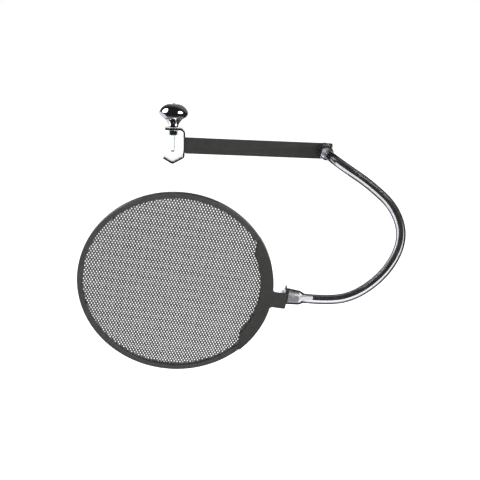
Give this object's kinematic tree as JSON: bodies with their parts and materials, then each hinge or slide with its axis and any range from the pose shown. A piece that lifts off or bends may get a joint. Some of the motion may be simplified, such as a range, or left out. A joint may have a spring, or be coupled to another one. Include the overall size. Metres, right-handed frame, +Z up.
{
  "type": "microphone pop filter",
  "caption": "Round stretched-metal screen in a rolled rim, carried by a clear-sleeved gooseneck on a flat arm with a thumb-screw clamp for a microphone stand.",
  "frame": {"origin": "axis of a 16 mm stand tube lying in the clamp's V, at the middle of the strip's width", "axes": "+X along the arm from the clamp, +Z up the clamp screw towards the knob, +Y away from the person who speaks, along the stand tube"},
  "size_m": [0.256, 0.0743, 0.2101],
  "materials": {
    "nickel_plate": "bright nickel plate",
    "knob_chrome": "polished chrome",
    "screw_steel": "zinc-plated steel",
    "brass_tip": "turned brass",
    "black_enamel": "satin black enamel",
    "black_washer": "matt black",
    "neck_steel": "dark ribbed flexible steel",
    "clear_sleeve": "clear glossy vinyl",
    "rim_enamel": "glossy dark enamel",
    "mesh_enamel": "dark enamel on stretched metal"
  },
  "bodies": {
    "clamp": {"clamp_bracket": "nickel_plate", "clamp_boss": "nickel_plate", "arm_bar": "black_enamel", "arm_rivets": "black_enamel", "neck_base_back_washer": "nickel_plate", "neck_base_washer": "black_washer", "neck_base_bolt": "screw_steel", "neck_base_ferrule": "knob_chrome", "neck_core_0": "neck_steel", "neck_sleeve_0": "clear_sleeve"},
    "thrust_tip": {"screw_tip": "brass_tip"},
    "knob": {"clamp_screw": "screw_steel", "clamp_knob": "knob_chrome"},
    "neck_1": {"neck_core_1": "neck_steel", "neck_sleeve_1": "clear_sleeve"},
    "neck_2": {"neck_core_2": "neck_steel", "neck_sleeve_2": "clear_sleeve"},
    "neck_3": {"neck_core_3": "neck_steel", "neck_sleeve_3": "clear_sleeve"},
    "neck_4": {"neck_core_4": "neck_steel", "neck_sleeve_4": "clear_sleeve"},
    "neck_5": {"neck_core_5": "neck_steel", "neck_sleeve_5": "clear_sleeve"},
    "neck_6": {"neck_core_6": "neck_steel", "neck_sleeve_6": "clear_sleeve"},
    "screen": {"neck_core_7": "neck_steel", "neck_sleeve_7": "clear_sleeve", "neck_tip_back_washer": "nickel_plate", "neck_tip_washer": "black_washer", "neck_tip_bolt": "screw_steel", "neck_tip_ferrule": "knob_chrome", "mount_plate": "black_enamel", "back_plate": "black_enamel", "rim_channel": "rim_enamel", "screen_mesh": "mesh_enamel"}
  },
  "joints": [
    {"name": "screw_travel", "type": "slide", "parent": "clamp", "child": "thrust_tip", "axis": [0, 0, 1], "range_m": [0, 0.01225]},
    {"name": "knob_turn", "type": "hinge", "parent": "thrust_tip", "child": "knob", "pos_m": [0, 0, 0], "axis": [0, 0, 1], "range_deg": [0, 6301]},
    {"name": "neck_swing_1", "type": "hinge", "parent": "clamp", "child": "neck_1", "pos_m": [0.1274, -0.03855, 0.0015], "axis": [0.5149, 0, 0.8573], "range_deg": [-15, 15]},
    {"name": "neck_curl_2", "type": "hinge", "parent": "neck_1", "child": "neck_2", "pos_m": [0.14295, -0.0451, -0.0079], "axis": [0, 1, 0], "range_deg": [-15, 15]},
    {"name": "neck_swing_3", "type": "hinge", "parent": "neck_2", "child": "neck_3", "pos_m": [0.16375, -0.04535, -0.023], "axis": [0.6419, 0, 0.7668], "range_deg": [-15, 15]},
    {"name": "neck_curl_4", "type": "hinge", "parent": "neck_3", "child": "neck_4", "pos_m": [0.179, -0.04565, -0.0445], "axis": [0, 1, 0], "range_deg": [-15, 15]},
    {"name": "neck_swing_5", "type": "hinge", "parent": "neck_4", "child": "neck_5", "pos_m": [0.178, -0.0459, -0.071], "axis": [0.9308, 0, -0.3656], "range_deg": [-15, 15]},
    {"name": "neck_curl_6", "type": "hinge", "parent": "neck_5", "child": "neck_6", "pos_m": [0.16, -0.04615, -0.0955], "axis": [0, 1, 0], "range_deg": [-15, 15]},
    {"name": "neck_swing_7", "type": "hinge", "parent": "neck_6", "child": "screen", "pos_m": [0.13417, -0.04663, -0.10754], "axis": [0.115, 0, -0.9934], "range_deg": [-15, 15]}
  ],
  "couplings": [
    {"joint": "knob_turn", "follows": "screw_travel", "rad_per_m": 8976}
  ]
}
